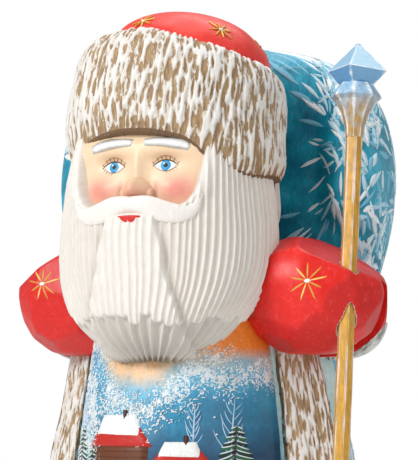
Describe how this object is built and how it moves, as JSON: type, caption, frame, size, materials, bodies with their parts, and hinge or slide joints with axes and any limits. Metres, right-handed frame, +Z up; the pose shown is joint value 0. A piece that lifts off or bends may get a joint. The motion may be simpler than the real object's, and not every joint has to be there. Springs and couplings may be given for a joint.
{
  "type": "carved wooden figurine",
  "caption": "Carved and painted wooden winter grandfather with fur hat, long beard, back sack, and a crystal-topped staff that lifts out of the mitten.",
  "frame": {"origin": "middle of the base on the table surface", "axes": "+Z up; the figure looks towards -Y; its left hand with the staff is at +X"},
  "size_m": [0.1548, 0.1421, 0.254],
  "materials": {
    "felt": "matt felt",
    "plinth_paint": "painted snow, satin lacquer",
    "steel": "plain",
    "coat_paint": "painted teal with white frost, satin lacquer",
    "robe_paint": "painted winter landscape, satin lacquer",
    "fur_wood": "gouged, white dry-brushed over stained wood, satin",
    "grey_fur": "gouged, grey-white, satin",
    "red_paint": "painted red, satin lacquer",
    "skin_paint": "painted skin tone, gloss lacquer",
    "white_paint": "painted warm white, satin lacquer",
    "sack_paint": "painted teal with frost strokes, satin lacquer",
    "gold_paint": "painted ochre gold, satin",
    "ice_paint": "painted ice blue, satin lacquer",
    "bare_wood": "unfinished"
  },
  "bodies": {
    "figure": {"base_felt": "felt", "base_plinth": "plinth_paint", "base_screws": "steel", "coat_body": "coat_paint", "robe_front": "robe_paint", "fur_hem": "fur_wood", "fur_trim_left": "fur_wood", "fur_trim_right": "fur_wood", "sleeve_left": "red_paint", "sleeve_right": "red_paint", "cuff_fur_left": "grey_fur", "cuff_fur_right": "grey_fur", "mitten_left": "red_paint", "mitten_right": "red_paint", "arm_dowels": "bare_wood", "mitten_dowels": "bare_wood", "head": "skin_paint", "head_dowel": "bare_wood", "beard": "white_paint", "moustache": "white_paint", "back_hair": "white_paint", "hat_fur_brim": "fur_wood", "hat_crown": "red_paint", "hat_dowel": "bare_wood", "sack": "sack_paint", "sack_dowels": "bare_wood"},
    "staff": {"staff_shaft": "gold_paint", "staff_collar": "gold_paint", "staff_crystal": "ice_paint"}
  },
  "joints": [
    {"name": "staff_lift", "type": "slide", "parent": "figure", "child": "staff", "axis": [0.0184, 0.0994, 0.9949], "range_m": [0, 0.17]}
  ]
}
